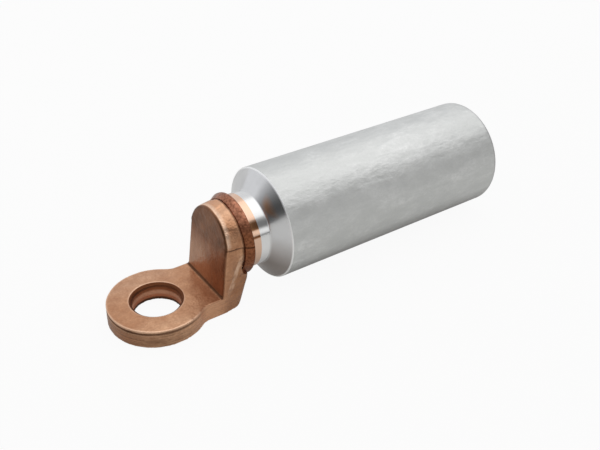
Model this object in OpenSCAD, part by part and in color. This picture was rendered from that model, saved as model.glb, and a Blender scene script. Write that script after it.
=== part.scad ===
// Bimetallic cable lug: a forged copper palm, friction-welded to a turned aluminium barrel.
// Lengths are millimetres. The origin is the centre of the bolt hole on the contact face,
// with +X along the barrel, towards its open end, and +Z up, away from the contact face.

/* [Palm] */
// Radius of the palm's round end
palm_r = 13.3; // [11.5:0.1:15]
// Thickness of the palm
palm_t = 5.4; // [4:0.1:8]
// Diameter of the bolt hole, which clears an M12 bolt
hole_d = 13; // [8:0.1:17]
// Chamfer round the top of the bolt hole
hole_chamfer = 0.6; // [0.2:0.1:1.2]
// Radius of the hollow where the round end narrows to the waist
hollow_r = 4; // [2:0.5:8]
// Height of the lip that the die leaves round the palm's top edge
lip_h = 0.7; // [0.3:0.1:1.2]
// Height of the groove under the lip
groove_h = 0.6; // [0.3:0.1:1.2]
// Depth of that groove at the palm's tip, from where it fades to nothing at the waist
groove_depth = 0.3; // [0.1:0.05:0.6]

/* [Stop block] */
// Distance from the hole's centre to the foot of the stop face
stop_x = 14.65; // [14.2:0.05:19]
// Angle by which the stop face leans back
stop_lean = 6; // [1:0.5:9]
// Radius of the block's round top where it meets the collar
bar_r = 10.5; // [9:0.1:12]
// Draft angle of the round top, which narrows it towards the stop face
block_draft = 7; // [2:0.5:9]
// How far each side of the waist and the riser lies inside that radius
side_cut = 0.65; // [0.3:0.05:1.5]
// Draft angle of the riser's sides
side_draft = 1; // [0.5:0.25:2.5]
// Height of the parting line above the barrel's axis
parting_rise = 2.1; // [0.5:0.1:4]
// Distance from the foot of the stop face to the collar
block_l = 6.65; // [5.5:0.05:11]
// Radius of the edge round the stop face
stop_edge_r = 0.9; // [0.4:0.1:1.4]
// Radius in the corner between the stop face and the palm
stop_foot_r = 0.5; // [0.2:0.1:1.2]

/* [Back of the riser] */
// Length of the riser on the contact face, from below the stop's foot to the heel
foot_l = 7.3; // [6:0.1:8.5]
// Length of the flat part of the riser's side on the contact face
flat_side_l = 0.5; // [0.2:0.1:2]
// Angle by which each side then tapers towards the back
back_taper = 10; // [8:1:12]
// Radius of the riser's two back corners
back_corner_r = 3.5; // [2:0.25:5]
// Radius of the heel, the edge between the back and the contact face
heel_r = 2.5; // [1:0.25:4]

/* [Collar and neck] */
// Width of the collar
collar_w = 2.8; // [2.4:0.1:5]
// Height of the collar above the block's round top
collar_step = 1; // [0.6:0.1:2.4]
// Length of the slope up which the collar rises from the block
collar_slope_l = 1.6; // [0.6:0.1:2]
// Depth and width of the groove between the block and the collar
collar_groove = 0.3; // [0.1:0.05:0.5]
// Radius of the collar's back edge
collar_edge_r = 0.4; // [0.1:0.05:0.5]
// Distance by which the riser stops short of the collar's back
collar_inset = 1.2; // [1.1:0.1:1.4]
// Depth to which the neck is turned below the radius of the block's round top
neck_cut = 0.1; // [0.05:0.05:1]
// Length of the neck's copper part
copper_neck_l = 2.5; // [1:0.1:6]
// Length of the neck's aluminium part
aluminium_neck_l = 2.9; // [1:0.1:8]
// Radius in the corner between the neck and the collar
neck_root_r = 0.4; // [0.2:0.1:0.9]

/* [Barrel] */
// Outer diameter of the barrel
barrel_d = 32; // [28:0.5:40]
// Length of the barrel from the end of its cone to its open end
barrel_l = 76.5; // [70:0.5:120]
// Height of the barrel's underside above the contact face
barrel_lift = 1.8; // [0.5:0.1:6]
// Length of the cone between the neck and the barrel
cone_l = 3.4; // [2:0.1:12]
// Chamfer between the cone and the barrel
rim_chamfer = 0.35; // [0.1:0.05:0.8]
// Radius of the outer edge at the open end
end_edge_r = 1; // [0.3:0.1:1.5]

/* [Cable bore] */
// Diameter of the bore that takes the cable's strands
bore_d = 20; // [12:0.1:23]
// Depth of the bore's straight wall from the open end
bore_depth = 61; // [35:0.5:66]
// Point angle that the drill leaves at the bottom of the bore
drill_point = 118; // [100:1:140]
// Chamfer at the mouth of the bore
mouth_chamfer = 1; // [0.3:0.1:1.5]

/* [Hidden] */
$fn = 96;
copper = [0.72, 0.46, 0.34];
aluminium = [0.78, 0.79, 0.80];

// How far a cutting solid runs past what it cuts, and how far joined shapes of one forging overlap
past = 1;
joined = 0.5;

// Widths and heights that follow from the block, the barrel and the palm
riser_w = bar_r - side_cut;
neck_r = bar_r - neck_cut;
collar_r = bar_r + collar_step;
barrel_r = barrel_d / 2;
axis_h = barrel_r + barrel_lift;
parting_h = axis_h + parting_rise;
parting_w = riser_w - (parting_h - palm_t) * tan(side_draft);
stop_top_x = stop_x + (axis_h + bar_r - palm_t) * tan(stop_lean);

// Places along the barrel's axis
flat_end_x = stop_x + flat_side_l;
heel_x = stop_x + foot_l;
collar_x = stop_x + block_l;
neck_x = collar_x + collar_w;
riser_end_x = neck_x - collar_inset;
joint_x = neck_x + copper_neck_l;
cone_x = joint_x + aluminium_neck_l;
rim_x = cone_x + cone_l;
end_x = rim_x + barrel_l;

// The back leans from the heel to the back of the collar, and meets it just inside its rim
back_top_h = axis_h - bar_r;
back_lean = atan((riser_end_x - heel_x) / back_top_h);

// Each hollow touches the round end in this direction, and is centred here
hollow_y = riser_w + hollow_r;
hollow_x = sqrt(pow(palm_r + hollow_r, 2) - pow(hollow_y, 2));
touch_cos = hollow_x / (palm_r + hollow_r);

// The circle that cuts the groove is set off from the hole, so that it fades out at the waist
groove_shift = groove_depth / (1 + touch_cos);
groove_r = palm_r - groove_shift * touch_cos;

// A length that is larger than the whole forging
room = 2 * (palm_r + neck_x + axis_h);

// Turns a profile drawn as radius and distance into a solid round the barrel's axis
module turned() {
    translate([0, 0, axis_h]) rotate([0, 90, 0]) rotate_extrude() children();
}

// Gives an outline drawn in X and Z a width across Y
module across(width) {
    translate([0, width / 2, 0]) rotate([90, 0, 0]) linear_extrude(width) children();
}

// Gives a section drawn in Y and Z a length from one place on X to another
module along(from, to) {
    translate([from, 0, 0]) rotate([90, 0, 90]) linear_extrude(to - from) children();
}

// All the space between two heights
module between(low, high) {
    translate([-room / 2, -room / 2, low]) cube([room, room, high - low]);
}

// What a rounding takes off a corner at the origin, for a solid that fills the +x and +y side
module corner_waste(r) {
    difference() {
        translate([-past, -past]) square(r + past);
        translate([r, r]) circle(r);
    }
}

// Palm from above: the round end, the two hollows beside the waist, and the waist itself
module palm_outline() {
    circle(palm_r);
    difference() {
        polygon([[0, 0], [hollow_x, -hollow_y], [hollow_x, hollow_y]]);
        for (side = [-1, 1]) translate([hollow_x, side * hollow_y]) circle(hollow_r);
    }
    translate([0, -riser_w]) square([flat_end_x, 2 * riser_w]);
}

// Groove under the lip, from the tip of the palm to where the hollows begin
module lip_groove() {
    translate([0, 0, palm_t - lip_h - groove_h]) linear_extrude(groove_h) difference() {
        translate([-palm_r - past, -palm_r - past])
            square([palm_r + past + palm_r * touch_cos, 2 * (palm_r + past)]);
        translate([groove_shift, 0]) circle(groove_r);
    }
}

module bolt_hole() {
    translate([0, 0, -past]) cylinder(d = hole_d, h = palm_t + 2 * past);
    translate([0, 0, palm_t - hole_chamfer])
        cylinder(d1 = hole_d, d2 = hole_d + 2 * (hole_chamfer + past), h = hole_chamfer + past);
}

// Riser across: straight beside the palm, then drafted up to the parting line
module riser_section() {
    polygon([[-riser_w, 0], [-riser_w, palm_t], [-parting_w, parting_h],
             [parting_w, parting_h], [riser_w, palm_t], [riser_w, 0]]);
}

// What the heel's rounding takes off, seen from the side
module heel_waste() {
    heel_in = heel_r * tan(45 - back_lean / 2);
    under = [heel_x - heel_in, 0];
    behind = [heel_x + heel_in * sin(back_lean), heel_in * cos(back_lean)];
    difference() {
        polygon([under, under - [0, past], [heel_x + 2 * past, -past],
                 behind + past * [cos(back_lean), -sin(back_lean)], behind]);
        translate(under + [0, heel_r]) circle(heel_r);
    }
}

// Riser from above, measured square to its leaning back, which lies at x = 0
module riser_plan() {
    side_l = (heel_x - flat_end_x) * cos(back_lean);
    back_w = riser_w - side_l * tan(back_taper);
    flare_x = -side_l - past / tan(back_taper);
    corner_in = back_corner_r * tan(45 - back_taper / 2);
    on_back = [0, back_w - corner_in];
    on_side = [-corner_in * cos(back_taper), back_w + corner_in * sin(back_taper)];
    difference() {
        polygon([[-room, -riser_w - past], [flare_x, -riser_w - past], [0, -back_w],
                 [0, back_w], [flare_x, riser_w + past], [-room, riser_w + past]]);
        for (side = [0, 1]) mirror([0, side]) difference() {
            polygon([on_back, on_back + [past, 0], [past, back_w + past],
                     on_side + past * [sin(back_taper), cos(back_taper)], on_side]);
            translate(on_back - [back_corner_r, 0]) circle(back_corner_r);
        }
    }
}

// Riser below the parting line
module riser() {
    difference() {
        intersection() {
            along(hollow_x, riser_end_x) riser_section();
            translate([heel_x, 0, 0]) rotate([0, back_lean, 0])
                translate([0, 0, -room / 2]) linear_extrude(room) riser_plan();
        }
        across(room) heel_waste();
    }
}

// Round top of the block, between the stop face and the collar. Below the parting line it
// narrows to the riser's sides
module round_top() {
    intersection() {
        turned() polygon([[0, stop_x], [bar_r - block_l * tan(block_draft), stop_x],
                          [bar_r, collar_x], [0, collar_x]]);
        between(parting_h, room);
    }
    turned() polygon([[0, stop_x], [parting_w, stop_x], [parting_w, stop_top_x],
                      [riser_w, collar_x], [0, collar_x]]);
}

// Places what is drawn against the stop face: local z runs up the face and local x into the block
module on_stop() {
    translate([stop_x, 0, palm_t]) rotate([0, stop_lean, 0]) children();
}

// What is cut away in front of the stop face and round its edge
module stop_waste() {
    face_axis = (axis_h - palm_t) / cos(stop_lean) + stop_edge_r * tan(stop_lean);
    edge_back_r = bar_r - (collar_x - stop_top_x - stop_edge_r) * tan(block_draft);
    on_stop() translate([-room, -room / 2, -room / 2]) cube(room);
    intersection() {
        on_stop() translate([0, 0, face_axis]) rotate([0, 90, 0]) rotate_extrude()
            translate([edge_back_r, 0]) mirror([1, 0]) corner_waste(stop_edge_r);
        between(parting_h, room);
    }
    intersection() {
        on_stop() for (side = [0, 1]) mirror([0, side, 0])
            translate([0, -riser_w, 0]) rotate([-side_draft, 0, 0])
                linear_extrude(room / 2) corner_waste(stop_edge_r);
        between(palm_t, parting_h);
    }
}

// Fillet in the corner between the stop face and the palm
module stop_foot() {
    reach = stop_foot_r * tan(45 - stop_lean / 2);
    face = [stop_x + reach * sin(stop_lean), palm_t + reach * cos(stop_lean)];
    across(2 * (riser_w - stop_edge_r)) difference() {
        polygon([[stop_x - reach, palm_t], [stop_x - reach, palm_t - joined],
                 [stop_x + joined, palm_t - joined], face + [joined, 0], face]);
        translate([stop_x - reach, palm_t + stop_foot_r]) circle(stop_foot_r);
    }
}

// Collar, and the copper end of the neck with the small radius at its root
module collar() {
    turned() {
        polygon([[0, collar_x - joined], [bar_r / 2, collar_x - joined],
                 [bar_r / 2, collar_x], [bar_r - collar_groove, collar_x],
                 [bar_r - collar_groove, collar_x + collar_groove], [bar_r, collar_x + collar_groove],
                 [collar_r, collar_x + collar_groove + collar_slope_l],
                 [collar_r, neck_x - collar_edge_r], [collar_r - collar_edge_r, neck_x], [0, neck_x]]);
        translate([collar_r - collar_edge_r, neck_x - collar_edge_r]) circle(collar_edge_r);
    }
    turned() {
        translate([0, neck_x - joined]) square([neck_r, copper_neck_l + joined]);
        difference() {
            translate([neck_r - joined, neck_x - joined]) square(neck_root_r + joined);
            translate([neck_r + neck_root_r, neck_x + neck_root_r]) circle(neck_root_r);
        }
    }
}

module cable_bore() {
    translate([end_x, 0, axis_h]) rotate([0, -90, 0]) {
        translate([0, 0, -past]) cylinder(d = bore_d, h = bore_depth + past);
        translate([0, 0, bore_depth])
            cylinder(d1 = bore_d, d2 = 0, h = bore_d / 2 / tan(drill_point / 2));
        translate([0, 0, -past])
            cylinder(d1 = bore_d + 2 * (mouth_chamfer + past), d2 = bore_d, h = mouth_chamfer + past);
    }
}

// The whole forging, from the palm to the copper end of the neck
module copper_palm() {
    color(copper) {
        difference() {
            union() {
                linear_extrude(palm_t) palm_outline();
                difference() {
                    union() {
                        riser();
                        round_top();
                    }
                    stop_waste();
                }
                stop_foot();
                collar();
            }
            lip_groove();
            bolt_hole();
        }
    }
}

// The whole turned part, from the aluminium end of the neck to the open end
module aluminium_barrel() {
    color(aluminium) difference() {
        turned() {
            polygon([[0, joint_x], [neck_r, joint_x], [neck_r, cone_x],
                     [barrel_r - rim_chamfer, rim_x], [barrel_r, rim_x + rim_chamfer],
                     [barrel_r, end_x - end_edge_r], [barrel_r - end_edge_r, end_x], [0, end_x]]);
            translate([barrel_r - end_edge_r, end_x - end_edge_r]) circle(end_edge_r);
        }
        cable_bore();
    }
}

copper_palm();
aluminium_barrel();
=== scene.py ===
"""Bimetallic cable lug, lying on a pale floor: forged copper palm, turned aluminium barrel."""

import math
from types import SimpleNamespace

import bmesh
import bpy
from mathutils import Matrix, Vector, noise


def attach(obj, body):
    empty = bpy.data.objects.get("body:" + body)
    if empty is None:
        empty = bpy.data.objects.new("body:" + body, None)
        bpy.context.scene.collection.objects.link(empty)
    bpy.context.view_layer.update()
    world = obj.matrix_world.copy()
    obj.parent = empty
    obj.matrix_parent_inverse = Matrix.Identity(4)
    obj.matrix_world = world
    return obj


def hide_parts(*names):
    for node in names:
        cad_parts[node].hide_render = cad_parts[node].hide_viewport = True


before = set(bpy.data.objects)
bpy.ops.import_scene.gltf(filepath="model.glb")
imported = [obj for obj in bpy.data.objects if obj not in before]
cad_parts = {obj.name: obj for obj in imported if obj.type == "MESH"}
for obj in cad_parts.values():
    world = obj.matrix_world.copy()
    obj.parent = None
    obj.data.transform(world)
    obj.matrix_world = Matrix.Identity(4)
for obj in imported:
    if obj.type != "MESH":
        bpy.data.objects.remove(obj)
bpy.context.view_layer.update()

MM = 0.001
FULL_TURN = 2 * math.pi

# Sizes of the lug, in millimetres and degrees, as in its solids
AXIS_H = 17.8
PALM_T = 5.4
PALM_R = 13.3
HOLE_R = 6.5
LIP_H = 0.7
GROOVE_H = 0.6
STOP_X = 14.65
STOP_LEAN = 6.0
PARTING_H = 19.9
HEEL_X = 19.5
BLOCK_R = 10.5
COLLAR_X = 21.3
COLLAR_R = 11.5
COLLAR_EDGE_R = 0.4
GROOVE = 0.3
SLOPE_L = 1.6
NECK_X = 24.1
NECK_R = 10.4
NECK_ROOT_R = 0.4
JOINT_X = 26.6
CONE_X = 29.5
RIM_X = 32.9
BARREL_R = 16.0
BARREL_LIFT = 1.8
END_X = 109.4
END_EDGE_R = 1.0
BORE_R = 10.0
BORE_DEPTH = 61.0
MOUTH_CHAMFER = 1.0
DRILL_POINT = 118.0

# Small forms that only this scene has, in millimetres and degrees
HOLE_CHAMFER = 0.8
CONE_FOOT_R = 0.4
RIM_CHAMFER = 0.27
RIM_POINTS = [(RIM_X - 0.05, BARREL_R - RIM_CHAMFER - 0.08),
              (RIM_X + 0.03, BARREL_R - RIM_CHAMFER + 0.07),
              (RIM_X + RIM_CHAMFER - 0.05, BARREL_R - 0.03),
              (RIM_X + RIM_CHAMFER + 0.1, BARREL_R)]
RIDGE_X = 13.8
RIDGE_LEAN = 25.4

# How finely the pieces are made
TURNED_STEPS = 256
CORNER_STEPS = 6
SHARP_ANGLE = 38
TURNED_WELD = 0.0005
SOLID_WELD = 0.001
FOLDED_WELD = 0.002

# The forging's skin, in millimetres: a grid of small faces, smoothed some rounds over (the lip and
# its groove only in the last round), then hammered inwards above its flat base
GRID = 0.23
SMOOTHING = 0.5
SKIN_ROUNDS = 3
LIP_ROUNDS = 1
WEAR_ROUNDS = 10
WEAR_UNIT = 0.1
FLAT_BASE_H = 0.2
HAMMER_DEPTH = 0.09
HAMMER_SIZE = 3.2
GRIT_DEPTH = 0.03
GRIT_SIZE = 0.7
FOLD_DEPTH = 0.24
FOLD_SIZE = 3.6
FOLD_GAIN = 2
FOLD_PLACE = Vector((7, 3, 5))
FOLDS_Z = (AXIS_H + 1, AXIS_H + 5)
LIP_Z = PALM_T - LIP_H - GROOVE_H - 0.3
LIP_R = PALM_R - 0.9
LIP_X = 0.7 * PALM_R
HOLE_EDGE_Z = PALM_T - 1.3
HOLE_EDGE_REACH = 0.13
BACK_GAIN = 1.25
BACK_GAIN_Z = (0.6, 7.6)
BACK_GAIN_DEPTH = (0, 4)
COLLAR_CLEARANCE = 0.2
HIDDEN_X = COLLAR_X + 0.1
HIDDEN_END_X = JOINT_X - 0.5
HIDDEN_SHARE = 0.88


def arc(x, r, radius, start, stop):
    """Points of a corner's rounding in a turned profile, from one angle to another in degrees."""
    angles = [math.radians(start + (stop - start) * i / CORNER_STEPS) for i in range(CORNER_STEPS + 1)]
    return [(x + radius * math.cos(a), r + radius * math.sin(a)) for a in angles]


def turned(profile):
    """Turns a profile of (distance along the barrel, radius) into a closed bmesh."""
    bm = bmesh.new()
    verts = [bm.verts.new((x * MM, 0, (AXIS_H + r) * MM)) for x, r in profile]
    edges = [bm.edges.new(pair) for pair in zip(verts, verts[1:])]
    bmesh.ops.spin(bm, geom=verts + edges, cent=(0, 0, AXIS_H * MM), axis=(1, 0, 0),
                   angle=FULL_TURN, steps=TURNED_STEPS, use_merge=True)
    bmesh.ops.remove_doubles(bm, verts=bm.verts, dist=TURNED_WELD * MM)
    bmesh.ops.recalc_face_normals(bm, faces=bm.faces)
    return bm


def made_mesh(bm, name):
    """Turns a finished bmesh into a mesh and frees it."""
    mesh = bpy.data.meshes.new(name)
    bm.to_mesh(mesh)
    bm.free()
    return mesh


def placed(name, data):
    """Puts new data into the scene as an object at the origin."""
    obj = bpy.data.objects.new(name, data)
    bpy.context.scene.collection.objects.link(obj)
    return obj


def piece(name, mesh, materials, node):
    """Makes the finished object that stands for a node of the solids."""
    for material in materials:
        mesh.materials.append(material)
    mesh.shade_smooth()
    mesh.set_sharp_from_angle(angle=math.radians(SHARP_ANGLE))
    obj = placed(name, mesh)
    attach(obj, "root")
    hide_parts(node)


def collar_and_neck():
    """The turned end of the forging: groove, sloped collar, and the neck with its small root."""
    slope_start = COLLAR_X + GROOVE
    slope = [(COLLAR_X, 0), (COLLAR_X, BLOCK_R - GROOVE), (slope_start, BLOCK_R - GROOVE),
             (slope_start, BLOCK_R), (slope_start + SLOPE_L, COLLAR_R)]
    back_edge = arc(NECK_X - COLLAR_EDGE_R, COLLAR_R - COLLAR_EDGE_R, COLLAR_EDGE_R, 90, 0)
    root = arc(NECK_X + NECK_ROOT_R, NECK_R + NECK_ROOT_R, NECK_ROOT_R, 180, 270)
    return turned(slope + back_edge + root + [(JOINT_X, NECK_R), (JOINT_X, 0)])


def remeshed(source, voxel):
    """The node's mesh, merged and remade with an even grid of small faces."""
    bm = bmesh.new()
    bm.from_mesh(source)
    bmesh.ops.remove_doubles(bm, verts=bm.verts, dist=SOLID_WELD * MM)
    blank = placed("forging_blank", made_mesh(bm, "forging_blank"))
    grid = blank.modifiers.new("grid", "REMESH")
    grid.mode = "VOXEL"
    grid.voxel_size = voxel
    grid.adaptivity = 0
    evaluated = blank.evaluated_get(bpy.context.evaluated_depsgraph_get())
    fine = bmesh.new()
    fine.from_mesh(evaluated.to_mesh())
    evaluated.to_mesh_clear()
    bpy.data.objects.remove(blank)
    return fine


def soften(bm, verts, rounds):
    """Smooths the given points some rounds over."""
    for _ in range(rounds):
        bmesh.ops.smooth_vert(bm, verts=verts, factor=SMOOTHING,
                              use_axis_x=True, use_axis_y=True, use_axis_z=True)


def from_axis(co):
    """Distance from the barrel's axis, in millimetres."""
    return math.hypot(co.y, co.z - AXIS_H * MM) / MM


def near_lip(co):
    """Whether a point lies on the palm's lip or in the groove under it."""
    return co.z > LIP_Z * MM and math.hypot(co.x, co.y) > LIP_R * MM and co.x < LIP_X * MM


def way_through(value, reach):
    """How far a value has come through a (start, stop) reach, from 0 to 1."""
    start, stop = reach
    return min(1, max(0, (value - start) / (stop - start)))


def mark_wear(bm):
    """Stores how far each point stands proud of its surroundings, in tenths of a millimetre."""
    wear = bm.verts.layers.float.new("wear")
    blurred = bm.copy()
    soften(blurred, blurred.verts, WEAR_ROUNDS)
    for vert, soft in zip(bm.verts, blurred.verts):
        vert[wear] = (vert.co - soft.co).dot(vert.normal) / (WEAR_UNIT * MM)
    blurred.free()


def hammer_skin(verts):
    """Sinks the skin unevenly: hammer marks, grit, and soft folds on the round top."""
    for vert in verts:
        if vert.co.z > FLAT_BASE_H * MM:
            broad = 0.5 + 0.5 * noise.noise(vert.co / (HAMMER_SIZE * MM))
            fine = 0.5 + 0.5 * noise.noise(vert.co / (GRIT_SIZE * MM))
            folds = (FOLD_GAIN * noise.noise(vert.co / (FOLD_SIZE * MM) + FOLD_PLACE)) ** 2
            on_top = way_through(vert.co.z / MM, FOLDS_Z) * (1 - abs(vert.normal.x))
            depth = HAMMER_DEPTH * broad + GRIT_DEPTH * fine + FOLD_DEPTH * on_top * min(1, folds)
            vert.co -= vert.normal * depth * MM


def crisp_rim(verts):
    """Widens the bolt hole's chamfer and puts the points nearest its edge exactly on it."""
    rim = (HOLE_R + HOLE_CHAMFER) * MM
    reach = HOLE_EDGE_REACH * MM
    for vert in verts:
        out = math.hypot(vert.co.x, vert.co.y)
        if out < rim + reach and vert.co.z > HOLE_EDGE_Z * MM:
            if out > rim - reach:
                vert.co.x *= rim / out
                vert.co.y *= rim / out
                out = rim
            vert.co.z = min(vert.co.z, PALM_T * MM - (rim - out))


def fill_back(verts):
    """Lets the back of the riser run out further, up to the collar, than in the solids."""
    slope = math.tan(math.radians(RIDGE_LEAN))
    for vert in verts:
        up = vert.co.z / MM
        behind_ridge = vert.co.x / MM - RIDGE_X - up * slope
        gain = way_through(up, BACK_GAIN_Z) * way_through(behind_ridge, BACK_GAIN_DEPTH)
        vert.co.x += BACK_GAIN * MM * gain


def draw_in(verts):
    """Draws in what lies under the turned collar and neck, so that it stays out of sight."""
    for vert in verts:
        if vert.co.x > HIDDEN_X * MM and from_axis(vert.co) < COLLAR_R + COLLAR_CLEARANCE:
            vert.co.y *= HIDDEN_SHARE
            vert.co.z = AXIS_H * MM + (vert.co.z - AXIS_H * MM) * HIDDEN_SHARE
            vert.co.x = min(vert.co.x, HIDDEN_END_X * MM)


def forging():
    """The whole copper piece: the forged palm and block, then the turned collar and neck."""
    bm = remeshed(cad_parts["copper_palm"].data, GRID * MM)
    forged = [v for v in bm.verts
              if v.co.x < COLLAR_X * MM or from_axis(v.co) > COLLAR_R + COLLAR_CLEARANCE]
    soften(bm, [v for v in forged if not near_lip(v.co)], SKIN_ROUNDS)
    soften(bm, forged, LIP_ROUNDS)
    bm.normal_update()
    hammer_skin(forged)
    crisp_rim(forged)
    fill_back(forged)
    draw_in(bm.verts)
    bmesh.ops.remove_doubles(bm, verts=bm.verts, dist=FOLDED_WELD * MM)
    mark_wear(bm)
    turned_end = collar_and_neck()
    for face in turned_end.faces:
        face.material_index = 1
    bm.from_mesh(made_mesh(turned_end, "turned_end"))
    return made_mesh(bm, "copper_forging")


def barrel():
    """The turned aluminium: neck, cone, barrel, and the blind bore with its drilled end."""
    lean = math.degrees(math.atan2(BARREL_R - RIM_CHAMFER - NECK_R, RIM_X - CONE_X))
    foot_back = CONE_FOOT_R * math.tan(math.radians(lean / 2))
    foot = arc(CONE_X - foot_back, NECK_R + CONE_FOOT_R, CONE_FOOT_R, -90, -90 + lean)
    end_edge = arc(END_X - END_EDGE_R, BARREL_R - END_EDGE_R, END_EDGE_R, 90, 0)
    bore_end = END_X - BORE_DEPTH
    tip = bore_end - BORE_R / math.tan(math.radians(DRILL_POINT / 2))
    bore = [(END_X, BORE_R + MOUTH_CHAMFER), (END_X - MOUTH_CHAMFER, BORE_R), (bore_end, BORE_R), (tip, 0)]
    bm = turned([(JOINT_X, 0), (JOINT_X, NECK_R)] + foot + RIM_POINTS + end_edge + bore)
    for face in bm.faces:
        if face.calc_center_median().x < (RIM_X + RIM_CHAMFER) * MM:
            face.material_index = 1
    return made_mesh(bm, "aluminium_barrel_turned")


# Patterns: patches per metre along X, Y and Z, their detail, and the softness of their edges
PLAIN_PATCHES = ((300.0, 300.0, 300.0), 4.0, 0.2)
FORGED_CLOUDS = ((240.0, 240.0, 240.0), 5.0, 0.2)
FORGED_DENTS = ((430.0, 430.0, 430.0), 4.0, 0.2)
COPPER_SPECKS = ((1500.0, 1500.0, 1500.0), 3.0, 0.25)
UPRIGHT_STREAKS = ((700.0, 700.0, 170.0), 4.0, 0.2)
FACE_SMUDGES = ((150.0, 190.0, 110.0), 3.0, 0.18)
LEVEL_STREAKS = ((130.0, 130.0, 2000.0), 4.0, 0.2)
PARTING_WAVE = ((300.0, 300.0, 300.0), 3.0, 0.25)
RIDGE_WAVE = ((260.0, 260.0, 260.0), 3.0, 0.25)
RIDGE_SPOTS = ((420.0, 420.0, 260.0), 3.0, 0.18)
COLLAR_CLOUDS = ((420.0, 420.0, 420.0), 4.0, 0.2)
TURNING_RINGS = ((9000.0, 60.0, 60.0), 2.0, 0.3)
BARREL_CLOUDS = ((48.0, 100.0, 100.0), 5.0, 0.14)
BARREL_SHADES = ((26.0, 55.0, 55.0), 3.0, 0.12)
BARREL_BLOTCHES = ((170.0, 360.0, 360.0), 6.0, 0.15)
BARREL_SPECKS = ((700.0, 1100.0, 1100.0), 4.0, 0.25)
BARREL_GRAIN = ((1500.0, 2300.0, 2300.0), 3.0, 0.25)
DRAWN_LINES = ((22.0, 420.0, 420.0), 4.0, 0.2)
CONE_CLOUDS = ((200.0, 200.0, 200.0), 4.0, 0.22)
PATCH_ROUGHNESS = 0.6
PATCH_MIDDLE = 0.5

# Sockets of the colour mix, which share their names with others
MIX_FACTOR = 0
MIX_FIRST = 6
MIX_SECOND = 7
MIX_RESULT = 2


def put(tree, kind, **inputs):
    """Adds a node. Capitalised names are its sockets, with _ for a space; the rest its settings."""
    made = tree.nodes.new("ShaderNode" + kind)
    for name, value in inputs.items():
        if name[0].isupper():
            made.inputs[name.replace("_", " ")].default_value = value
        else:
            setattr(made, name, value)
    return made


def wire(tree, *joins):
    """Joins sockets given as (node, output, node, input)."""
    for source, out, target, into in joins:
        tree.links.new(source.outputs[out], target.inputs[into])


def new_group(name, inputs, outputs):
    """An empty node group with its named sockets, and its two end nodes."""
    group = bpy.data.node_groups.new(name, "ShaderNodeTree")
    for label, kind, value in inputs:
        socket = group.interface.new_socket(label, in_out="INPUT", socket_type=kind)
        socket.default_value = value
    for label, kind in outputs:
        group.interface.new_socket(label, in_out="OUTPUT", socket_type=kind)
    return group, group.nodes.new("NodeGroupInput"), group.nodes.new("NodeGroupOutput")


def patches_group():
    """Uneven patches: a mask from 0 to 1, with a size for each direction and soft or sharp edges."""
    per_metre, detail, softness = PLAIN_PATCHES
    group, given, made = new_group(
        "uneven patches",
        [("Per metre", "NodeSocketVector", per_metre), ("Detail", "NodeSocketFloat", detail),
         ("Softness", "NodeSocketFloat", softness)],
        [("Mask", "NodeSocketFloat")])
    place = put(group, "TexCoord")
    size = put(group, "Mapping")
    cloud = put(group, "TexNoise", Scale=1.0, Roughness=PATCH_ROUGHNESS)
    low = put(group, "Math", operation="SUBTRACT")
    low.inputs[0].default_value = PATCH_MIDDLE
    high = put(group, "Math", operation="ADD")
    high.inputs[0].default_value = PATCH_MIDDLE
    spread = put(group, "MapRange")
    wire(group, (place, "Object", size, "Vector"), (given, "Per metre", size, "Scale"),
         (size, "Vector", cloud, "Vector"), (given, "Detail", cloud, "Detail"),
         (given, "Softness", low, 1), (given, "Softness", high, 1),
         (cloud, "Fac", spread, "Value"), (low, "Value", spread, "From Min"),
         (high, "Value", spread, "From Max"), (spread, "Result", made, "Mask"))
    return group


PATCHES = patches_group()


def patches(tree, pattern):
    """A mask of uneven patches, after one of the patterns above."""
    made = put(tree, "Group", node_tree=PATCHES)
    for socket, value in zip(("Per metre", "Detail", "Softness"), pattern):
        made.inputs[socket].default_value = value
    return made, "Mask"


def tint(tree, fac, first, second):
    """Mixes two colours, each a colour or a (node, output) pair, by a (node, output) factor."""
    mix = put(tree, "Mix", data_type="RGBA")
    for socket, colour in ((MIX_FIRST, first), (MIX_SECOND, second)):
        if isinstance(colour[0], bpy.types.Node):
            wire(tree, (*colour, mix, socket))
        else:
            mix.inputs[socket].default_value = (*colour, 1)
    wire(tree, (*fac, mix, MIX_FACTOR))
    return mix, MIX_RESULT


def spread_to(tree, source, low, high, start=0.0, stop=1.0):
    """Maps a (node, output) value from start..stop to low..high."""
    made = put(tree, "MapRange", From_Min=start, From_Max=stop, To_Min=low, To_Max=high)
    wire(tree, (*source, made, "Value"))
    return made, "Result"


def rising(tree, source, reach, least=0.0):
    """A mask that rises to 1 over a (start, stop) reach in millimetres."""
    start, stop = reach
    return spread_to(tree, source, least, 1.0, start * MM, stop * MM)


def falling(tree, source, reach, least=0.0):
    """A mask that falls from 1 over a (start, stop) reach in millimetres."""
    start, stop = reach
    return spread_to(tree, source, 1.0, least, start * MM, stop * MM)


def opposite(tree, mask):
    """The mask turned round: 1 where it is 0."""
    return spread_to(tree, mask, 1.0, 0.0)


def overlap(tree, *masks):
    """The product of two or more masks."""
    made = masks[0]
    for mask in masks[1:]:
        product = put(tree, "Math", operation="MULTIPLY")
        wire(tree, (*made, product, 0), (*mask, product, 1))
        made = (product, "Value")
    return made


def between(tree, source, near, far):
    """A mask that rises over the first (start, stop) reach and falls over the second."""
    return overlap(tree, rising(tree, source, near), falling(tree, source, far))


def scaled_and_added(tree, source, factor, addend):
    """A value times a plain number, plus another value or a plain number."""
    made = put(tree, "Math", operation="MULTIPLY_ADD")
    made.inputs[1].default_value = factor
    wire(tree, (*source, made, 0))
    if isinstance(addend, tuple):
        wire(tree, (*addend, made, 2))
    else:
        made.inputs[2].default_value = addend
    return made, "Value"


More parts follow.
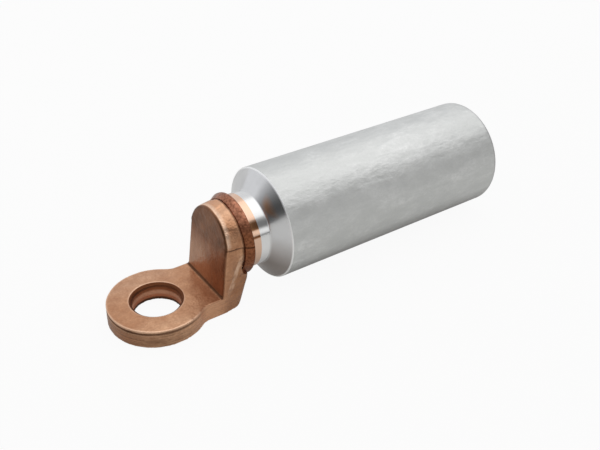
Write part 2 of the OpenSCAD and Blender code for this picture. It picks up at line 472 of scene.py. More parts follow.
def coat(tree, tone, mask, colour_and_cover):
    """Lays a colour over the tone where the mask is, as far as the colour covers."""
    colour, cover = colour_and_cover
    return tint(tree, spread_to(tree, mask, 0.0, cover), tone, colour)


def new_finish(name, metallic=1.0):
    """A new material, its tree and its shader."""
    material = bpy.data.materials.new(name)
    material.use_nodes = True
    tree = material.node_tree
    shader = tree.nodes["Principled BSDF"]
    shader.inputs["Metallic"].default_value = metallic
    return material, tree, shader


def bumped(tree, shader, layers):
    """Chains bumps of (source, depth in millimetres) into the shader's normal."""
    last = None
    for source, depth in layers:
        bump = put(tree, "Bump", Strength=1.0, Distance=depth * MM)
        wire(tree, (*source, bump, "Height"))
        if last:
            wire(tree, (last, "Normal", bump, "Normal"))
        last = bump
    wire(tree, (last, "Normal", shader, "Normal"))


def axes(tree):
    """A point's place on its piece, as three sources."""
    place = put(tree, "TexCoord")
    split = put(tree, "SeparateXYZ")
    wire(tree, (place, "Object", split, "Vector"))
    return (split, "X"), (split, "Y"), (split, "Z")


def behind_plane(tree, x, z, lean, foot):
    """How far a point lies behind a plane that leans back by some degrees from its foot at Z 0."""
    shift = scaled_and_added(tree, z, -math.tan(math.radians(lean)), -foot * MM)
    back = put(tree, "Math", operation="ADD")
    wire(tree, (*shift, back, 0), (*x, back, 1))
    return back, "Value"


def from_hole(tree):
    """How far a point lies from the bolt hole's axis."""
    place = put(tree, "TexCoord")
    flat = put(tree, "VectorMath", operation="MULTIPLY")
    flat.inputs[1].default_value = (1, 1, 0)
    distance = put(tree, "VectorMath", operation="LENGTH")
    wire(tree, (place, "Object", flat, 0), (flat, "Vector", distance, 0))
    return distance, "Value"


# The parting line and the ridge on the riser's side, in millimetres
PARTING_MIDDLE = PARTING_H + 0.35
PARTING_WAVER = 0.7
PARTING_OVER = (PARTING_MIDDLE - 0.28, PARTING_MIDDLE - 0.12)
PARTING_UNDER = (PARTING_MIDDLE + 0.12, PARTING_MIDDLE + 0.28)
PARTING_SIDE_Y = (-8.6, -7.6)
RIDGE_WAVER = 1.3
BEHIND_RIDGE = (0, 0.3)
RIDGE_FRONT = (-0.5, 0)
RIDGE_BACK = (1.0, 1.6)
RIDGE_LOW_Z = (4.5, 7)
RIDGE_HIGH_Z = (PARTING_H - 3.5, PARTING_H - 1.5)


def parting_line(tree, y, z):
    """A wavy line at the height where the two halves of the forging die met."""
    lifted = scaled_and_added(tree, patches(tree, PARTING_WAVE), PARTING_WAVER * MM, z)
    line = between(tree, lifted, PARTING_OVER, PARTING_UNDER)
    return overlap(tree, line, falling(tree, y, PARTING_SIDE_Y))


def ridge_line(tree, x, z):
    """The painted highlight along the ridge on the riser's side, and all that lies behind it."""
    plane = behind_plane(tree, x, z, RIDGE_LEAN, RIDGE_X)
    past = scaled_and_added(tree, patches(tree, RIDGE_WAVE), RIDGE_WAVER * MM, plane)
    line = overlap(tree, between(tree, past, RIDGE_FRONT, RIDGE_BACK), patches(tree, RIDGE_SPOTS),
                   between(tree, z, RIDGE_LOW_Z, RIDGE_HIGH_Z))
    return line, rising(tree, past, BEHIND_RIDGE)


# Where the forged copper changes: the (start, stop) of each change, in millimetres. What is called
# depth, front or back is measured from the plane of the stop face towards the barrel.
PALM_EDGE_Z = (PALM_T - 0.1, PALM_T + 0.9)
PALM_SIDE_Z = (PALM_T - 0.5, PALM_T - 0.2)
PALM_FLAT_Z = (PALM_T - 0.4, PALM_T - 0.2)
HOLE_EDGE_R = (HOLE_R + HOLE_CHAMFER - 0.04, HOLE_R + HOLE_CHAMFER + 0.06)
LIT_RIM_R = (HOLE_R + 1.0, HOLE_R + 1.3)
LIT_RIM_Y = (1, 6)
CHAMFER_Z = (PALM_T - 1.0, PALM_T - 0.75)
WALL_Z = (2.9, 3.5)
LOW_WALL_Z = (1.6, 2.2)
BRINK_Z = (0.7, 1.2)
FAR_SIDE_X = (6, 12)
FAR_SIDE_Y = (3, 9)
FRONT_X = (0, 12)
FRONT_Y = (-6, -12)
PALM_END_X = (-13, -3)
DARK_SIDE_X = (-2, 10)
LIGHT_SIDE_X = (0, 8)
HEEL_SIDE_X = (13, 17)
TAPER_Z = (PARTING_H - 0.2, PARTING_H)
LOW_RISER_Z = (4, 12)
LOW_RISER_DEPTH = (0.5, 1.0)
FACE_DEPTH = (0.3, 0.6)
PALM_REFLECTION_Y = (-5, 4)
PALM_REFLECTION_Z = (12, 18)
BAND_FRONT = (-0.02, 0.12)
BAND_BACK = (0.3, 0.5)
BAND_LOW_Z = (PARTING_H - 3.0, PARTING_H)
BAND_HIGH_Z = (AXIS_H + 7.5, AXIS_H + 10.0)
COLLAR_LINE_X = (COLLAR_X - 0.45, COLLAR_X - 0.2)
COLLAR_LINE_Z = (AXIS_H - 6, AXIS_H - 2)
FOOT_FRONT = (-0.6, -0.25)
FOOT_BACK = (0.1, 0.3)
FOOT_LOW_Z = (PALM_T - 0.25, PALM_T - 0.1)
FOOT_HIGH_Z = (PALM_T + 0.35, PALM_T + 0.7)
UNDER_LIP_LOW_Z = (PALM_T - 1.5, PALM_T - 1.15)
UNDER_LIP_HIGH_Z = (PALM_T - 0.85, PALM_T - 0.6)
UNDER_LIP_X = (0, 11)
WAIST_X = (5, 10)
CREST_FRONT = (0.45, 0.65)
CREST_BACK = (0.8, 1.8)
CREST_Z = (PARTING_H + 0.2, PARTING_H + 1.2)
TOP_DEPTH = (0.4, 0.9)
TOP_Z = (AXIS_H + 8.0, AXIS_H + 9.6)
CROWN_Y = (-3, 2)
SHOULDER_LOW_Z = (AXIS_H + 4.0, AXIS_H + 6.0)
SHOULDER_HIGH_Z = (AXIS_H + 7.0, AXIS_H + 8.2)
SHOULDER_Y = (0, 1)
SUNK_Z = (AXIS_H + 1.0, AXIS_H + 3.0)
SKIN_DEPTH = (0, 1)

# How far the skin stands proud where it is worn and painted with a highlight, or dark, in tenths of a
# millimetre
WORN_AND_HIGHLIGHT_HEIGHT = (0.12, 0.9)
SUNK_HEIGHT = (-0.2, -1.1)

# What is left of a mask of the forged copper at its weak end
LIT_RIM_LEAST = 0.3
DARK_SIDE_LEAST = 0.25
HEEL_SIDE_LEAST = 0.25
BAND_LOW_LEAST = 0.3
BAND_HIGH_LEAST = 0.4
WAIST_LEAST = 0.15
UNDER_LIP_LEAST = 0.5
SUNK_LEAST = 0.35
SKIN_LEAST = 0.3

# Colours of the forged copper, many of them painted light, shade and reflection, and how far each covers
# what lies under it
CLOUD_COLOURS = ((0.55, 0.278, 0.152), (0.83, 0.475, 0.278))
FAR_SIDE_COAT = ((0.86, 0.60, 0.43), 0.4)
FRONT_COAT = ((0.96, 0.60, 0.37), 0.9)
PALM_END_COAT = ((0.46, 0.21, 0.11), 0.3)
DENT_COAT = ((0.42, 0.19, 0.10), 0.5)
SPECK_COAT = ((0.38, 0.17, 0.09), 0.55)
LIT_RIM_COAT = ((1.0, 0.70, 0.50), 0.5)
# The hole's colours: painted shade, painted reflections down its wall and a painted shadow at its brink
IN_HOLE_SHADE_COAT = ((0.36, 0.125, 0.05), 0.95)
CHAMFER_SHADE_COAT = ((0.17, 0.060, 0.026), 0.95)
WALL_REFLECTION_COAT = ((0.80, 0.44, 0.275), 0.9)
LOW_WALL_REFLECTION_COAT = ((0.56, 0.20, 0.095), 0.85)
BRINK_SHADOW_COAT = ((0.08, 0.04, 0.022), 0.9)
TAPER_COAT = ((0.42, 0.20, 0.10), 0.4)
LOW_RISER_COAT = ((0.42, 0.19, 0.10), 0.35)
LIGHT_SIDE_COAT = ((0.98, 0.55, 0.33), 0.6)
DARK_SIDE_COAT = ((0.19, 0.095, 0.05), 0.85)
FACE_COLOURS = ((0.28, 0.117, 0.060), (0.42, 0.195, 0.105))
# Painted reflection of the palm, low down on the stop face
PALM_REFLECTION_COAT = ((0.68, 0.395, 0.262), 0.9)
FACE_COVER = 0.88
STREAK_COAT = ((0.12, 0.062, 0.038), 0.2)
# Painted light on the round top, painted shade on its front shoulder, a painted highlight on the crest
TOP_LIGHT_COAT = ((0.90, 0.57, 0.375), 0.5)
SHOULDER_SHADE_COAT = ((0.30, 0.15, 0.085), 0.5)
CROWN_COAT = ((0.74, 0.36, 0.19), 0.6)
CREST_HIGHLIGHT_COAT = ((0.98, 0.70, 0.52), 0.75)
# Painted highlight along the ridge on the riser's side
RIDGE_HIGHLIGHT_COAT = ((0.98, 0.68, 0.48), 0.85)
# Wear and a painted highlight where the skin stands proud
WORN_AND_HIGHLIGHT_COAT = ((0.90, 0.60, 0.42), 0.8)
# Painted shade at the stop's foot and edge, by the collar and under the lip; the parting line is the
# forging's own
FOOT_SHADE_COAT = ((0.11, 0.043, 0.02), 0.85)
BAND_SHADE_COAT = ((0.11, 0.055, 0.03), 0.9)
COLLAR_LINE_SHADE_COAT = ((0.12, 0.05, 0.025), 0.7)
PARTING_COAT = ((0.13, 0.058, 0.028), 0.85)
UNDER_LIP_SHADE_COAT = ((0.09, 0.04, 0.02), 0.9)
SUNK_COAT = ((0.12, 0.053, 0.026), 0.75)

# Gloss and relief of the forged copper, the relief in millimetres
FORGED_ROUGHNESS = (0.38, 0.27)
HOLE_ROUGHER = 0.25
FOOT_ROUGHER = 0.3
STREAK_RELIEF = 0.11
DENT_RELIEF = 0.24
SPECK_RELIEF = 0.035


def forged_patterns(tree):
    """The patterns that several of the forged copper's layers share."""
    return SimpleNamespace(clouds=patches(tree, FORGED_CLOUDS), dents=patches(tree, FORGED_DENTS),
                           specks=patches(tree, COPPER_SPECKS), level=patches(tree, LEVEL_STREAKS))


def forged_places(tree):
    """The places on the forging that several of its layers share."""
    x, y, z = axes(tree)
    back = behind_plane(tree, x, z, STOP_LEAN, STOP_X - PALM_T * math.tan(math.radians(STOP_LEAN)))
    from_bolt = from_hole(tree)
    in_hole = falling(tree, from_bolt, HOLE_EDGE_R)
    off_hole = opposite(tree, in_hole)
    above = rising(tree, z, PALM_EDGE_Z)
    beside = falling(tree, z, PALM_SIDE_Z)
    band = overlap(tree, above, between(tree, back, BAND_FRONT, BAND_BACK),
                   rising(tree, z, BAND_LOW_Z, BAND_LOW_LEAST),
                   falling(tree, z, BAND_HIGH_Z, BAND_HIGH_LEAST))
    foot = overlap(tree, between(tree, back, FOOT_FRONT, FOOT_BACK),
                   between(tree, z, FOOT_LOW_Z, FOOT_HIGH_Z))
    by_collar = overlap(tree, rising(tree, x, COLLAR_LINE_X), rising(tree, z, COLLAR_LINE_Z))
    return SimpleNamespace(x=x, y=y, z=z, back=back, from_bolt=from_bolt, in_hole=in_hole,
                           off_hole=off_hole, above=above, beside=beside, band=band, foot=foot,
                           by_collar=by_collar)


def cloudy_tones(tree, skin, at):
    """The first tone: clouds, a lighter front and far side, dents and specks."""
    tone = tint(tree, skin.clouds, *CLOUD_COLOURS)
    far_side = overlap(tree, rising(tree, at.y, FAR_SIDE_Y), falling(tree, at.x, FAR_SIDE_X))
    tone = coat(tree, tone, far_side, FAR_SIDE_COAT)
    front = overlap(tree, rising(tree, at.y, FRONT_Y), falling(tree, at.x, FRONT_X))
    tone = coat(tree, tone, front, FRONT_COAT)
    tone = coat(tree, tone, falling(tree, at.x, PALM_END_X), PALM_END_COAT)
    tone = coat(tree, tone, opposite(tree, skin.dents), DENT_COAT)
    return coat(tree, tone, opposite(tree, skin.specks), SPECK_COAT)


def hole_tones(tree, tone, skin, at):
    """The bolt hole: a painted highlight on its far rim, painted shade in the hole and its chamfer, and
    painted reflections in bands down its wall, which darkens downwards to a painted shadow at its brink.
    """
    lit = overlap(tree, at.off_hole, rising(tree, at.y, LIT_RIM_Y), falling(tree, at.from_bolt, LIT_RIM_R),
                  spread_to(tree, skin.dents, LIT_RIM_LEAST, 1.0), rising(tree, at.z, PALM_FLAT_Z))
    tone = coat(tree, tone, lit, LIT_RIM_COAT)
    # Painted shade over the hole and its chamfer, then painted reflections in bands down the wall and a
    # painted shadow at its brink
    tone = coat(tree, tone, at.in_hole, IN_HOLE_SHADE_COAT)
    tone = coat(tree, tone, overlap(tree, at.in_hole, rising(tree, at.z, CHAMFER_Z)), CHAMFER_SHADE_COAT)
    for reach, layer in ((WALL_Z, WALL_REFLECTION_COAT), (LOW_WALL_Z, LOW_WALL_REFLECTION_COAT), (BRINK_Z, BRINK_SHADOW_COAT)):
        tone = coat(tree, tone, overlap(tree, at.in_hole, falling(tree, at.z, reach)), layer)
    return tone


def side_tones(tree, tone, skin, at, behind_ridge):
    """The sides: the riser's taper and foot, the light side towards the heel, the dark streaks."""
    tone = coat(tree, tone, overlap(tree, behind_ridge, falling(tree, at.z, TAPER_Z)), TAPER_COAT)
    low_riser = overlap(tree, rising(tree, at.back, LOW_RISER_DEPTH), falling(tree, at.z, LOW_RISER_Z))
    tone = coat(tree, tone, low_riser, LOW_RISER_COAT)
    outside = overlap(tree, at.beside, at.off_hole)
    light = overlap(tree, outside, rising(tree, at.x, LIGHT_SIDE_X),
                    falling(tree, at.x, HEEL_SIDE_X, HEEL_SIDE_LEAST))
    tone = coat(tree, tone, light, LIGHT_SIDE_COAT)
    dark = overlap(tree, outside, opposite(tree, skin.level),
                   falling(tree, at.x, DARK_SIDE_X, DARK_SIDE_LEAST))
    return coat(tree, tone, dark, DARK_SIDE_COAT)


def face_tones(tree, tone, at):
    """The stop face: smudged, with a painted reflection of the palm low down on its far half, and upright
    streaks.
    """
    face = overlap(tree, at.above, falling(tree, at.back, FACE_DEPTH))
    plain = tint(tree, patches(tree, FACE_SMUDGES), *FACE_COLOURS)
    # A painted reflection of the palm, lighter, low down on the face's far half
    palm_reflection = overlap(tree, rising(tree, at.y, PALM_REFLECTION_Y), falling(tree, at.z, PALM_REFLECTION_Z))
    plain = coat(tree, plain, palm_reflection, PALM_REFLECTION_COAT)
    tone = coat(tree, tone, face, (plain, FACE_COVER))
    streaks = overlap(tree, face, opposite(tree, patches(tree, UPRIGHT_STREAKS)))
    return coat(tree, tone, streaks, STREAK_COAT)


def top_tones(tree, tone, at, ridge):
    """The riser's round top: painted light on top and painted shade on its front shoulder, browner at its
    crown, with painted highlights along the crest and the ridge.
    """
    behind = rising(tree, at.back, TOP_DEPTH)
    # Painted light on the round top, then painted shade on its front shoulder
    top = overlap(tree, behind, rising(tree, at.z, TOP_Z))
    tone = coat(tree, tone, top, TOP_LIGHT_COAT)
    shoulder = overlap(tree, behind, between(tree, at.z, SHOULDER_LOW_Z, SHOULDER_HIGH_Z),
                       falling(tree, at.y, SHOULDER_Y))
    tone = coat(tree, tone, shoulder, SHOULDER_SHADE_COAT)
    tone = coat(tree, tone, overlap(tree, top, rising(tree, at.y, CROWN_Y)), CROWN_COAT)
    # A painted highlight along the crest behind the stop face
    crest = overlap(tree, at.above, between(tree, at.back, CREST_FRONT, CREST_BACK),
                    rising(tree, at.z, CREST_Z))
    tone = coat(tree, tone, crest, CREST_HIGHLIGHT_COAT)
    # A painted highlight along the ridge on the riser's side
    return coat(tree, tone, ridge, RIDGE_HIGHLIGHT_COAT)


def worn_and_highlight_tones(tree, tone, at, proud):
    """Bright wear with a painted highlight where the skin stands proud, off the dark lines and the hole."""
    # Bright where the skin stands proud: partly wear, partly a painted highlight, as along the palm's lip
    worn = overlap(tree, spread_to(tree, proud, 0.0, 1.0, *WORN_AND_HIGHLIGHT_HEIGHT), opposite(tree, at.band),
                   opposite(tree, at.by_collar), at.off_hole, falling(tree, at.x, WAIST_X, WAIST_LEAST))
    return coat(tree, tone, worn, WORN_AND_HIGHLIGHT_COAT)


def dark_lines(tree, tone, skin, at):
    """The dark lines: painted shade at the stop's foot and edge, by the collar and under the lip, and the
    parting line.
    """
    # Painted shade in the crease at the stop's foot
    tone = coat(tree, tone, at.foot, FOOT_SHADE_COAT)
    # Painted shade along the stop face's edge
    tone = coat(tree, tone, at.band, BAND_SHADE_COAT)
    # Painted shade along the line where the block meets the collar
    tone = coat(tree, tone, at.by_collar, COLLAR_LINE_SHADE_COAT)
    tone = coat(tree, tone, parting_line(tree, at.y, at.z), PARTING_COAT)
    # Painted shade in the groove under the palm's lip
    under_lip = overlap(tree, between(tree, at.z, UNDER_LIP_LOW_Z, UNDER_LIP_HIGH_Z),
                        falling(tree, at.x, UNDER_LIP_X), spread_to(tree, skin.dents, UNDER_LIP_LEAST, 1.0))
    return coat(tree, tone, under_lip, UNDER_LIP_SHADE_COAT)


def sunk_tones(tree, tone, at, proud):
    """Dark copper where the skin is sunk, less so on the round top."""
    sunk = overlap(tree, spread_to(tree, proud, 0.0, 1.0, *SUNK_HEIGHT), at.off_hole,
                   falling(tree, at.z, SUNK_Z, SUNK_LEAST))
    return coat(tree, tone, sunk, SUNK_COAT)


def forged_copper():
    """The forging's skin: brown and cloudy, with painted shade in its hole and most of its dark lines,
    painted light, highlights and a reflection on its forms, and bright where it is worn.
    """
    material, tree, shader = new_finish("forged copper")
    skin = forged_patterns(tree)
    at = forged_places(tree)
    ridge, behind_ridge = ridge_line(tree, at.x, at.z)
    proud = (put(tree, "Attribute", attribute_name="wear"), "Fac")
    tone = cloudy_tones(tree, skin, at)
    tone = hole_tones(tree, tone, skin, at)
    tone = side_tones(tree, tone, skin, at, behind_ridge)
    tone = face_tones(tree, tone, at)
    tone = top_tones(tree, tone, at, ridge)
    tone = worn_and_highlight_tones(tree, tone, at, proud)
    tone = dark_lines(tree, tone, skin, at)
    tone = sunk_tones(tree, tone, at, proud)
    wire(tree, (*tone, shader, "Base Color"))
    rough = spread_to(tree, skin.clouds, *FORGED_ROUGHNESS)
    rough = scaled_and_added(tree, at.in_hole, HOLE_ROUGHER, rough)
    rough = scaled_and_added(tree, at.foot, FOOT_ROUGHER, rough)
    wire(tree, (*rough, shader, "Roughness"))
    behind_face = rising(tree, at.back, SKIN_DEPTH, SKIN_LEAST)
    bumped(tree, shader, [(overlap(tree, skin.level, at.beside), STREAK_RELIEF),
                          (overlap(tree, skin.dents, behind_face), DENT_RELIEF),
                          (overlap(tree, skin.specks, behind_face), SPECK_RELIEF)])
    return material


# The turned copper: where it changes, in millimetres, its colours, gloss and relief
COPPER_NECK_X = (NECK_X - 0.1, NECK_X + 0.1)
COLLAR_UPPER_Z = (AXIS_H + 5.0, AXIS_H + 9.5)
COLLAR_GROOVE_X = (COLLAR_X + 0.1, COLLAR_X + GROOVE)
NECK_SHADE_LOW_Z = (AXIS_H + 5.1, AXIS_H + 5.5)
NECK_SHADE_HIGH_Z = (AXIS_H + 6.9, AXIS_H + 7.6)
NECK_DARK_REFLECTION_LOW_Z = (AXIS_H + 3.1, AXIS_H + 3.4)
NECK_DARK_REFLECTION_HIGH_Z = (AXIS_H + 3.7, AXIS_H + 4.0)
# Painted shade and light on the collar, painted shade in its groove
COLLAR_SHADED_AND_LIT_COLOURS = ((0.45, 0.17, 0.080), (0.78, 0.34, 0.21))
COLLAR_CLOUD_COAT = ((0.19, 0.065, 0.028), 0.5)
COLLAR_SPECK_COAT = ((0.09, 0.030, 0.013), 0.9)
COLLAR_PARTING_COAT = ((0.07, 0.026, 0.012), 0.85)
COLLAR_GROOVE_SHADE_COAT = ((0.11, 0.042, 0.02), 1.0)
# Painted band of shade and a painted dark reflection along the copper neck
NECK_AND_SHADE_BAND_COLOURS = ((0.86, 0.575, 0.42), (0.37, 0.175, 0.08))
NECK_DARK_REFLECTION_COAT = ((0.34, 0.14, 0.06), 1.0)
COLLAR_TO_NECK_ROUGHNESS = (0.28, 0.13)
RING_RELIEF = 0.003
COLLAR_RELIEF = 0.06


def turned_copper():
    """The collar, rough and dark in its clouds and specks, with painted shade low down and in its groove
    and painted light on its upper half, and the copper neck, turned bright, with a painted band of shade
    and a painted dark reflection along it.
    """
    material, tree, shader = new_finish("turned copper")
    specks = patches(tree, COPPER_SPECKS)
    x, y, z = axes(tree)
    neck = rising(tree, x, COPPER_NECK_X)
    # Painted shade on the collar's lower half, painted light on its upper half
    tone = tint(tree, rising(tree, z, COLLAR_UPPER_Z), *COLLAR_SHADED_AND_LIT_COLOURS)
    tone = coat(tree, tone, opposite(tree, patches(tree, COLLAR_CLOUDS)), COLLAR_CLOUD_COAT)
    tone = coat(tree, tone, opposite(tree, specks), COLLAR_SPECK_COAT)
    tone = coat(tree, tone, parting_line(tree, y, z), COLLAR_PARTING_COAT)
    # Painted shade in the collar's groove
    tone = coat(tree, tone, falling(tree, x, COLLAR_GROOVE_X), COLLAR_GROOVE_SHADE_COAT)
    # A painted band of shade across the copper neck, then a painted dark reflection along it
    on_neck = tint(tree, between(tree, z, NECK_SHADE_LOW_Z, NECK_SHADE_HIGH_Z), *NECK_AND_SHADE_BAND_COLOURS)
    on_neck = coat(tree, on_neck, between(tree, z, NECK_DARK_REFLECTION_LOW_Z, NECK_DARK_REFLECTION_HIGH_Z), NECK_DARK_REFLECTION_COAT)
    tone = tint(tree, neck, tone, on_neck)
    wire(tree, (*tone, shader, "Base Color"))
    wire(tree, (*spread_to(tree, neck, *COLLAR_TO_NECK_ROUGHNESS), shader, "Roughness"))
    bumped(tree, shader, [(patches(tree, TURNING_RINGS), RING_RELIEF),
                          (overlap(tree, specks, opposite(tree, neck)), COLLAR_RELIEF)])
    return material


# The barrel's satin aluminium: where it changes, in millimetres, its colours, gloss and relief
FAR_BARREL_X = (55, END_X)
FAR_BARREL_Z = (AXIS_H + 11.5, AXIS_H + 14.0)
FLANK_LOW_Z = (AXIS_H + 8.0, AXIS_H + 10.5)
FLANK_HIGH_Z = (AXIS_H + 12.5, AXIS_H + 14.5)
FLANK_Y = (-2, 2)
UNDERSIDE_Z = (AXIS_H - 13.0, AXIS_H - 4.5)
OPEN_EDGE_X = (END_X - 1.2, END_X - 0.6)
SATIN_COLOURS = ((0.75, 0.758, 0.74), (1.0, 1.0, 0.99))
# Painted highlights on the barrel's far end and front flank
FAR_BARREL_HIGHLIGHT_COAT = ((0.98, 0.985, 0.975), 0.6)
FLANK_HIGHLIGHT_COAT = ((1.0, 1.0, 0.99), 0.75)
SHADE_COAT = ((0.67, 0.68, 0.67), 0.3)
BLOTCH_COAT = ((0.67, 0.678, 0.665), 0.9)
BARREL_SPECK_COAT = ((0.67, 0.678, 0.665), 0.75)
GRAIN_COAT = ((0.57, 0.578, 0.565), 0.3)
DRAWN_COAT = ((0.68, 0.685, 0.675), 0.28)
# Painted shade on the barrel's underside
UNDERSIDE_SHADE_COAT = ((0.25, 0.24, 0.227), 0.95)
OPEN_EDGE_COAT = ((0.45, 0.45, 0.445), 0.8)
SATIN_ROUGHNESS = (0.46, 0.54)
CLOUD_RELIEF = 0.13
BLOTCH_RELIEF = 0.07
BARREL_SPECK_RELIEF = 0.02


def satin_aluminium():
    """The barrel's skin: pale and blotchy, with fine grain and faint lines along it, painted highlights on
    its front flank and far end, and painted shade on its underside.
    """
    material, tree, shader = new_finish("satin aluminium")
    clouds = patches(tree, BARREL_CLOUDS)
    blotches = patches(tree, BARREL_BLOTCHES)
    specks = patches(tree, BARREL_SPECKS)
    x, y, z = axes(tree)
    tone = tint(tree, clouds, *SATIN_COLOURS)
    # Painted highlights on the far end and the front flank
    far = overlap(tree, rising(tree, x, FAR_BARREL_X), falling(tree, z, FAR_BARREL_Z))
    tone = coat(tree, tone, far, FAR_BARREL_HIGHLIGHT_COAT)
    flank = overlap(tree, between(tree, z, FLANK_LOW_Z, FLANK_HIGH_Z), falling(tree, y, FLANK_Y))
    tone = coat(tree, tone, flank, FLANK_HIGHLIGHT_COAT)
    tone = coat(tree, tone, opposite(tree, patches(tree, BARREL_SHADES)), SHADE_COAT)
    tone = coat(tree, tone, opposite(tree, blotches), BLOTCH_COAT)
    tone = coat(tree, tone, opposite(tree, specks), BARREL_SPECK_COAT)
    tone = coat(tree, tone, opposite(tree, patches(tree, BARREL_GRAIN)), GRAIN_COAT)
    tone = coat(tree, tone, patches(tree, DRAWN_LINES), DRAWN_COAT)
    # Painted shade on the barrel's underside
    tone = coat(tree, tone, falling(tree, z, UNDERSIDE_Z), UNDERSIDE_SHADE_COAT)
    tone = coat(tree, tone, rising(tree, x, OPEN_EDGE_X), OPEN_EDGE_COAT)
    wire(tree, (*tone, shader, "Base Color"))
    wire(tree, (*spread_to(tree, blotches, *SATIN_ROUGHNESS), shader, "Roughness"))
    bumped(tree, shader, [(clouds, CLOUD_RELIEF), (blotches, BLOTCH_RELIEF), (specks, BARREL_SPECK_RELIEF)])
    return material


# The turned aluminium: where it changes, in millimetres, its colours and gloss
ALUMINIUM_NECK_X = (CONE_X - 0.6, CONE_X + 0.2)
CONE_UNDER_Z = (AXIS_H - 7.0, AXIS_H + 3.0)
NECK_LOW_Z = (AXIS_H - 1.0, AXIS_H + 5.0)
COPPER_REFLECTION_NEAR_X = (CONE_X + 0.1, CONE_X + 0.7)
COPPER_REFLECTION_FAR_X = (CONE_X + 1.1, CONE_X + 2.2)
COPPER_REFLECTION_Y = (-6.5, -4.5)
COPPER_REFLECTION_Z = (AXIS_H + 7.5, AXIS_H + 8.7)
RIM_HIGHLIGHT_X = (RIM_X - 0.15, RIM_X - 0.02)
CONE_COLOURS = ((0.70, 0.70, 0.705), (0.78, 0.78, 0.785))
# Painted shade on the cone's underside
CONE_UNDER_SHADE_COAT = ((0.38, 0.345, 0.32), 1.0)
NECK_METAL_FLOOR_REFLECTION_COLOURS = ((0.79, 0.79, 0.785), (0.99, 0.99, 0.985))
# Painted reflection of the copper at the cone's foot
COPPER_REFLECTION_COAT = ((1.0, 0.60, 0.40), 1.0)
# Painted highlight on the front rim
RIM_HIGHLIGHT_COAT = ((1.0, 1.0, 0.995), 1.0)
TURNED_ROUGHNESS = (0.12, 0.17)
RIM_ROUGHER = 0.2


def turned_aluminium():
    """The bright neck, cone and front rim, with fine rings, painted shade under the cone, a painted
    reflection of the floor under the neck, a painted reflection of the copper at the cone's foot and a
    painted highlight on the rim.
    """
    material, tree, shader = new_finish("turned aluminium")
    clouds = patches(tree, CONE_CLOUDS)
    x, y, z = axes(tree)
    tone = tint(tree, clouds, *CONE_COLOURS)
    # Painted shade on the cone's underside
    tone = coat(tree, tone, falling(tree, z, CONE_UNDER_Z), CONE_UNDER_SHADE_COAT)
    # The neck's underside lighter as a painted reflection of the floor
    on_neck = tint(tree, falling(tree, z, NECK_LOW_Z), *NECK_METAL_FLOOR_REFLECTION_COLOURS)
    tone = tint(tree, falling(tree, x, ALUMINIUM_NECK_X), tone, on_neck)
    # A painted reflection of the copper collar at the cone's foot
    warm = overlap(tree, between(tree, x, COPPER_REFLECTION_NEAR_X, COPPER_REFLECTION_FAR_X), falling(tree, y, COPPER_REFLECTION_Y),
                   rising(tree, z, COPPER_REFLECTION_Z))
    tone = coat(tree, tone, warm, COPPER_REFLECTION_COAT)
    # A painted highlight on the front rim
    rim = rising(tree, x, RIM_HIGHLIGHT_X)
    tone = coat(tree, tone, rim, RIM_HIGHLIGHT_COAT)
    wire(tree, (*tone, shader, "Base Color"))
    rough = scaled_and_added(tree, rim, RIM_ROUGHER, spread_to(tree, clouds, *TURNED_ROUGHNESS))
    wire(tree, (*rough, shader, "Roughness"))
    bumped(tree, shader, [(patches(tree, TURNING_RINGS), RING_RELIEF)])
    return material


# The floor: its half width in metres, its colours in front of and beyond the lug, with the reach of
# that change in millimetres, and how white the camera and bright metal see it
WHITE = (1, 1, 1)
FLOOR_HALF = 2.5
FLOOR_ROUGHNESS = 0.9
FLOOR_COLOURS = ((0.59, 0.587, 0.568), (0.65, 0.65, 0.642))
FLOOR_BEYOND_Y = (0, 120)
FLOOR_WHITE = 0.94
FLOOR_WHITE_IN_METAL = 0.25

# The room: its front wall's greys by height, its side wall, and round places given by their direction,
# inner and outer angle in degrees and colour: the dark left end, the darker right end, the glow above
ROOM_WHITE = 1.0
ROOM_WHITE_IN_METAL = 0.03
FRONT_WALL = [(0.0, 0.08), (0.05, 0.10), (0.10, 0.70), (0.18, 0.94), (0.30, 0.90), (0.36, 0.38),
              (0.43, 0.16), (0.60, 0.17), (0.69, 0.34), (0.80, 0.86)]
FRONT_WALL_Y = (-0.30, -0.50)
SIDE_WALL_X = (0.50, 0.66)
SIDE_WALL = (0.78, 0.78, 0.78)
ROOM = (0.79, 0.80, 0.82)
ROOM_PLACES = [((-0.99, 0.06, 0.09), 3, 36, (0.04, 0.04, 0.04)),
               ((1.0, -0.35, 0.0), 14, 38, (0.18, 0.18, 0.18)),
               ((0.47, 0.08, 1.0), 4, 39, (1.17, 1.17, 1.17))]

# The overhead softbox, in metres and watts
SOFTBOX_WAY = (0.5, 0.0, 1.0)
SOFTBOX_DISTANCE = 1.6
SOFTBOX_SIZE = 2.0
SOFTBOX_POWER = 2.3
LUG_MIDDLE = Vector((0.045, 0, 0.015))

# The camera, in metres, its lens and sensor in millimetres
CAMERA_PLACE = (-0.06718, -0.15519, 0.14199)
CAMERA_RIGHT = Vector((0.8173, -0.5756, 0.0273))
CAMERA_UP = Vector((0.3040, 0.4710, 0.8281))
CAMERA_LENS = 48.135
CAMERA_SENSOR = 36
CAMERA_NEAR = 0.01


def whitened(tree, to_camera, to_metal):
    """How much of plain white the camera sees here, and how much metal and glass mirror."""
    path = put(tree, "LightPath")
    mirrored = put(tree, "Math", operation="MAXIMUM")
    part = put(tree, "Math", operation="MULTIPLY")
    part.inputs[1].default_value = to_metal
    wire(tree, (path, "Is Glossy Ray", mirrored, 0), (path, "Is Transmission Ray", mirrored, 1),
         (mirrored, "Value", part, 0))
    return scaled_and_added(tree, (path, "Is Camera Ray"), to_camera, (part, "Value"))


